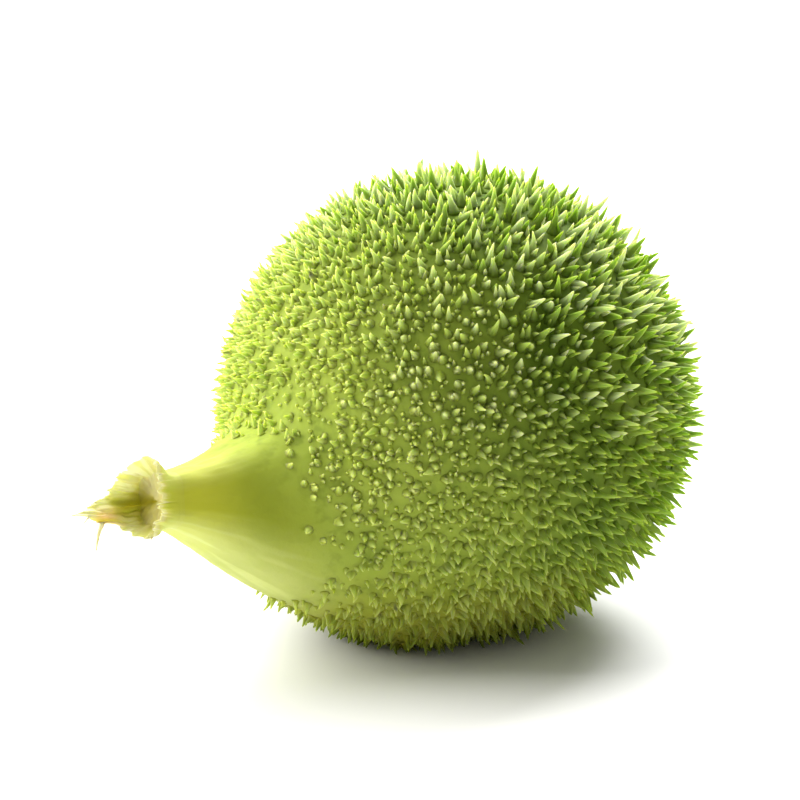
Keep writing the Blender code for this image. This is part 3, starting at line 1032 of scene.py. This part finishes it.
def use_group(tree, group, place, **values):
    """Places a shader group; each value is a plain one or a socket."""
    made = tree.nodes.new("ShaderNodeGroup")
    made.node_tree = group
    tree.links.new(place, made.inputs["Vector"])
    for name, value in values.items():
        give(tree, made.inputs[name], value)
    return made


def add_grain(tree, shader, grain, place, scale, strength, distance):
    """A fine bump over the surface."""
    bump = tree.nodes.new("ShaderNodeBump")
    bump.inputs["Strength"].default_value = strength
    bump.inputs["Distance"].default_value = distance
    tree.links.new(use_group(tree, grain, place, Scale=scale).outputs["Height"], bump.inputs["Height"])
    tree.links.new(bump.outputs["Normal"], shader.inputs["Normal"])


def set_flesh(shader, weight, depth):
    """Light that enters the flesh and comes out a little way off."""
    shader.inputs["Subsurface Weight"].default_value = weight
    shader.inputs["Subsurface Radius"].default_value = FLESH_REACH
    shader.inputs["Subsurface Scale"].default_value = depth


def neck_colour(tree, group, place):
    band_here, lines = attribute(tree, "band"), attribute(tree, "lines")
    flank = mix_colour(tree, attribute(tree, "ripe"), NECK_GREEN, NECK_OLIVE_AND_SHADE)
    return use_group(tree, group, place, Band=band_here, Lines=lines, Olive=flank).outputs["Color"]


def fruit_colour(tree, group, place):
    made = use_group(tree, group, place, Along=attribute(tree, "along"), Under=attribute(tree, "under"))
    return made.outputs["Color"]


def skin_finish(colours, neck, grain):
    made, tree, shader, place = start_material("gourd_skin", roughness=0.66, specular=0.10)
    green = fruit_colour(tree, colours, place)
    necked = mix_colour(tree, attribute(tree, "neck"), green, neck_colour(tree, neck, place))
    scarred = mix_colour(tree, attribute(tree, "scar"), necked, SCAR_BROWN)
    tree.links.new(scarred, shader.inputs["Base Color"])
    add_grain(tree, shader, grain, place, scale=1700.0, strength=0.4, distance=0.10 * MM)
    set_flesh(shader, weight=0.35, depth=1.1 * MM)
    return made


def spine_finish(colours, grain):
    made, tree, shader, place = start_material("spine_flesh", roughness=0.50, specular=0.12)
    green = fruit_colour(tree, colours, place)
    # Tip paleness, partly painted highlight higher up the fruit.
    pale = ramp(tree, attribute(tree, "shade"), ((0.0, TIP_GREEN), (0.45, TIP_LIGHT), (1.0, TIP_FROST)))
    frosty = mix_colour(tree, TIP_FROSTING, pale, green, "SCREEN")
    calming = ramp(tree, attribute(tree, "along"), ((0.16, (0.0,) * 3), (0.62, (TIP_CALMING,) * 3)))
    calm = mix_colour(tree, calming, frosty, mix_colour(tree, CALM_TIP_TINTING, green, CALM_TIP_TINT))
    low = fade(tree, attribute(tree, "under"), start=0.40, end=0.95)
    light = mix_colour(tree, low, calm, LOW_TIP_GREEN)
    rise = fade(tree, attribute(tree, "tip"), start=0.0, end=0.80)
    tree.links.new(mix_colour(tree, rise, green, light), shader.inputs["Base Color"])
    add_grain(tree, shader, grain, place, scale=3000.0, strength=0.3, distance=0.05 * MM)
    set_flesh(shader, weight=0.75, depth=0.9 * MM)
    return made


def stalk_finish(neck, grain):
    made, tree, shader, place = start_material("dry_stalk", roughness=0.62)
    dry = attribute(tree, "dry")
    green = neck_colour(tree, neck, place)
    # The hollow's olive is partly painted shade.
    fresh = mix_colour(tree, attribute(tree, "hollow"), green, HOLLOW_SHADE_OLIVE)
    withered = ramp(tree, dry, ((0.35, WITHERED_YELLOW), (0.85, WITHERED_CREAM)))
    # Painted shade over the dried wall, most low on its far side.
    shade_tint = mix_colour(tree, attribute(tree, "shaded_below"), UNTINTED, PAINTED_SHADE_TINT)
    withered_in_shade = mix_colour(tree, 1.0, withered, shade_tint, "MULTIPLY")
    sides = mix_colour(tree, fade(tree, dry, start=0.0, end=0.55), fresh, withered_in_shade)
    blushed = mix_colour(tree, attribute(tree, "blush"), sides, BLUSH_TAN)
    creasing = fade(tree, attribute(tree, "fibre"), start=0.3, end=0.0)
    shaded = mix_colour(tree, creasing, UNTINTED, CREASE_TINT)
    creased = mix_colour(tree, dry, blushed, mix_colour(tree, 1.0, blushed, shaded, "MULTIPLY"))
    tree.links.new(creased, shader.inputs["Base Color"])
    add_grain(tree, shader, grain, place, scale=1700.0, strength=0.4, distance=0.1 * MM)
    set_flesh(shader, weight=0.35, depth=1.1 * MM)
    return made


def strand_finish(grain):
    made, tree, shader, place = start_material("dry_fibre", roughness=0.6)
    cloud = cloudy(tree, place, scale=900.0, detail=2.0, roughness=0.5)
    tree.links.new(ramp(tree, cloud, ((0.35, FIBRE_TAN), (0.65, FIBRE_CREAM))), shader.inputs["Base Color"])
    add_grain(tree, shader, grain, place, scale=5000.0, strength=0.3, distance=0.03 * MM)
    set_flesh(shader, weight=0.3, depth=0.3 * MM)
    return made


def make_floor():
    """A wide pale floor under the fruit."""
    made, tree, shader, place = start_material("pale_floor", roughness=0.6)
    cloud = cloudy(tree, place, scale=3.0, detail=2.0, roughness=0.5)
    tree.links.new(ramp(tree, cloud, ((0.3, FLOOR_GREY), (0.7, FLOOR_WHITE))), shader.inputs["Base Color"])
    bm = bmesh.new()
    bmesh.ops.create_circle(bm, cap_ends=True, segments=96, radius=FLOOR_RADIUS)
    floor = add_object("floor", bm, made)


def view_directions():
    """The directions that are right, level towards the viewer, and towards the camera."""
    right = Vector((math.cos(VIEW_AZIMUTH), math.sin(VIEW_AZIMUTH), 0.0))
    level = Vector((math.sin(VIEW_AZIMUTH), -math.cos(VIEW_AZIMUTH), 0.0))
    back = level * math.cos(VIEW_ELEVATION) + Vector((0.0, 0.0, math.sin(VIEW_ELEVATION)))
    return right, level, back


def add_light(name, kind, centre):
    """A square soft light that faces the fruit."""
    right, level, _ = view_directions()
    across, nearer, higher = kind["offset"]
    offset = right * across + level * nearer + Vector((0.0, 0.0, higher))
    light = bpy.data.lights.new(name, "AREA")
    light.shape = "SQUARE"
    light.size = kind["size"]
    light.energy = kind["power"]
    light.color = kind["colour"]
    lamp = bpy.data.objects.new(name, light)
    lamp.location = centre + offset
    lamp.rotation_euler = (-offset).to_track_quat("-Z", "Y").to_euler()
    bpy.context.scene.collection.objects.link(lamp)


def make_lights(centre):
    """Soft daylight: a broad window on the left, a weak one behind, and an even pale surround."""
    add_light("window", WINDOW, centre)
    add_light("back_window", BACK_WINDOW, centre)
    world = bpy.data.worlds.new("surround")
    world.use_nodes = True
    background = world.node_tree.nodes["Background"]
    background.inputs["Color"].default_value = (*SURROUND_COLOUR, 1.0)
    background.inputs["Strength"].default_value = SURROUND_STRENGTH
    bpy.context.scene.world = world


def make_camera(centre):
    right, _, back = view_directions()
    up = back.cross(right)
    data = bpy.data.cameras.new("camera")
    data.lens = LENS
    data.sensor_width = SENSOR
    data.clip_start = 0.01
    data.clip_end = 20.0
    camera = bpy.data.objects.new("camera", data)
    target = centre - right * FRAME_SHIFT_LEFT + up * FRAME_SHIFT_UP
    camera.location = target + back * FRAME_WIDTH * LENS / SENSOR
    camera.rotation_euler = (-back).to_track_quat("-Z", "Y").to_euler()
    bpy.context.scene.collection.objects.link(camera)
    bpy.context.scene.camera = camera


def main():
    colours = fruit_colour_group()
    neck = neck_colour_group()
    grain = grain_group()
    make_skin(skin_finish(colours, neck, grain))
    flesh = spine_finish(colours, grain)
    make_spines("long_spines", LONG_SPINES, SEED, flesh)
    make_spines("fine_spines", FINE_SPINES, SEED + 1, flesh)
    make_stalk(stalk_finish(neck, grain))
    make_strands(strand_finish(grain))
    make_floor()
    centre = axis_point(0.0)
    make_lights(centre)
    make_camera(centre)
    bpy.context.scene.view_settings.view_transform = "Standard"


main()
